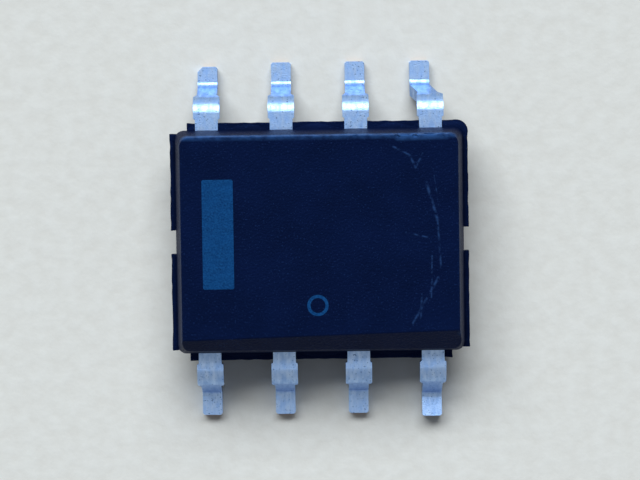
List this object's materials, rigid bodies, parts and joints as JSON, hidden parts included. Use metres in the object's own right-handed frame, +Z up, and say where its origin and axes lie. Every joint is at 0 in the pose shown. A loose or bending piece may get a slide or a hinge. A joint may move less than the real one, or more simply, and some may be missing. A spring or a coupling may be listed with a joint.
{
  "type": "small-outline integrated circuit",
  "caption": "Surface-mount chip in a black moulded body with gull-wing leads along two sides, a bevelled pin 1 side and a plain orientation bar.",
  "frame": {"origin": "middle of the package on the seating plane, the plane of the lead soles", "axes": "+X along the rows of leads from the end of leads 1 and 8, +Y from leads 1 to 4 towards leads 5 to 8, +Z up out of the marked face"},
  "size_m": [0.005, 0.0061, 0.0016],
  "materials": {
    "moulding_compound": "black epoxy moulding compound with a fine eroded-mould texture",
    "laser_mark": "grey laser-scorched resin of the orientation bar and ring",
    "tin_plate": "matte tin plate over copper alloy",
    "copper_alloy": "rolled copper alloy sheet",
    "die_adhesive": "cured silver-filled epoxy",
    "silicon": "sawn and polished silicon",
    "gold_wire": "drawn gold bond wire"
  },
  "bodies": {
    "root": {"body": "moulding_compound", "paddle": "copper_alloy", "die_attach": "die_adhesive", "die": "silicon", "lead_1": "tin_plate", "lead_2": "tin_plate", "lead_3": "tin_plate", "lead_4": "tin_plate", "lead_5": "tin_plate", "lead_6": "tin_plate", "lead_7": "tin_plate", "lead_8": "tin_plate", "wire_1": "gold_wire", "wire_2": "gold_wire", "wire_3": "gold_wire", "wire_4": "gold_wire", "wire_5": "gold_wire", "wire_6": "gold_wire", "wire_7": "gold_wire", "wire_8": "gold_wire"}
  },
  "joints": []
}
